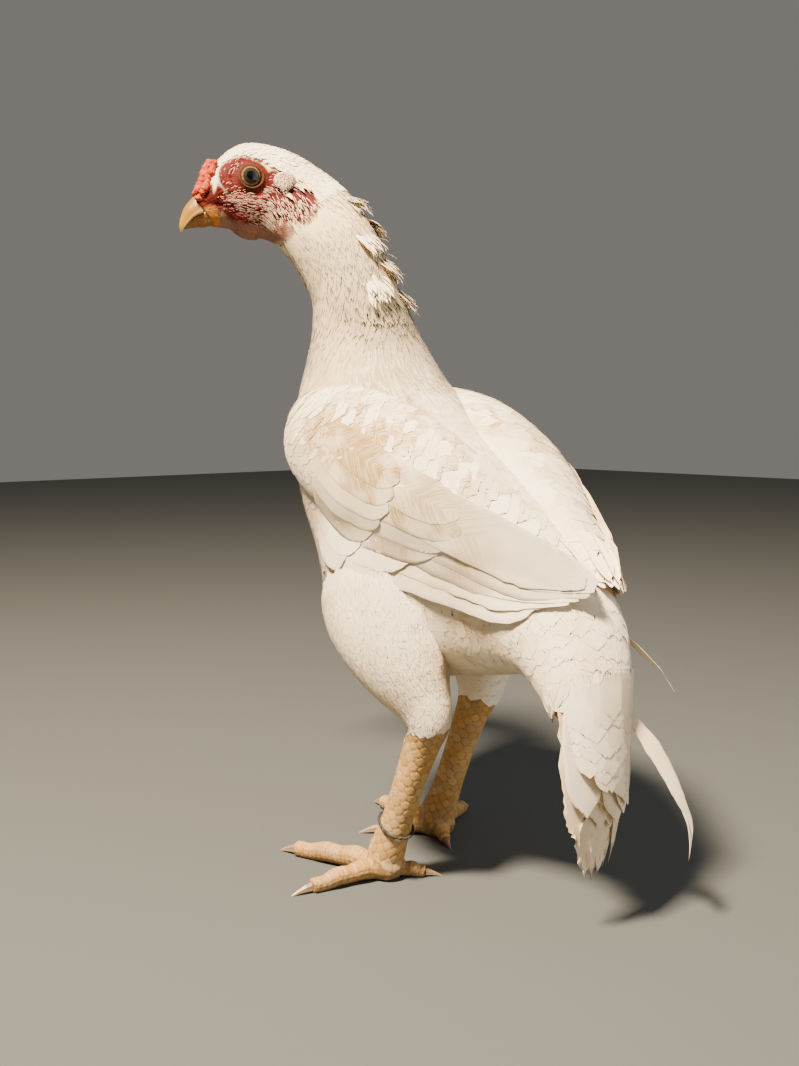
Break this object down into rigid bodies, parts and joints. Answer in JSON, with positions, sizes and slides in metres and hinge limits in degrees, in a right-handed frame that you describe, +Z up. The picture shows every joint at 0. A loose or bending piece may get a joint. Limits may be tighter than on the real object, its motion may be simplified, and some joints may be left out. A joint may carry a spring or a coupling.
{
  "type": "aseel chicken",
  "caption": "Life-size still model of a white aseel chicken standing upright, head turned to its left, tail hanging.",
  "frame": {"origin": "middle of the model's box, on the floor under the feet", "axes": "+Z up, the bird faces -Y, its left side is +X"},
  "size_m": [0.1875, 0.3259, 0.4547],
  "materials": {
    "white_feather": "soft matt plumage",
    "red_flesh": "bumpy bare skin",
    "yellow_horn": "smooth horn",
    "yellow_scale": "dry scaly skin",
    "eye": "wet and glossy",
    "dark_cord": "dull dark cord"
  },
  "bodies": {
    "root": {"head": "white_feather", "beak_upper": "yellow_horn", "beak_lower": "yellow_horn", "comb": "red_flesh", "eye_left": "eye", "eye_right": "eye", "ear_left": "white_feather", "ear_right": "white_feather", "neck": "white_feather", "torso": "white_feather", "wing_left": "white_feather", "wing_right": "white_feather", "tail": "white_feather", "thigh_left": "white_feather", "thigh_right": "white_feather", "shank_left": "yellow_scale", "shank_right": "yellow_scale", "leg_ring": "dark_cord", "foot_left": "yellow_scale", "foot_right": "yellow_scale", "claw_middle_left": "yellow_horn", "claw_outer_left": "yellow_horn", "claw_inner_left": "yellow_horn", "claw_hallux_left": "yellow_horn", "claw_middle_right": "yellow_horn", "claw_outer_right": "yellow_horn", "claw_inner_right": "yellow_horn", "claw_hallux_right": "yellow_horn"}
  },
  "joints": []
}
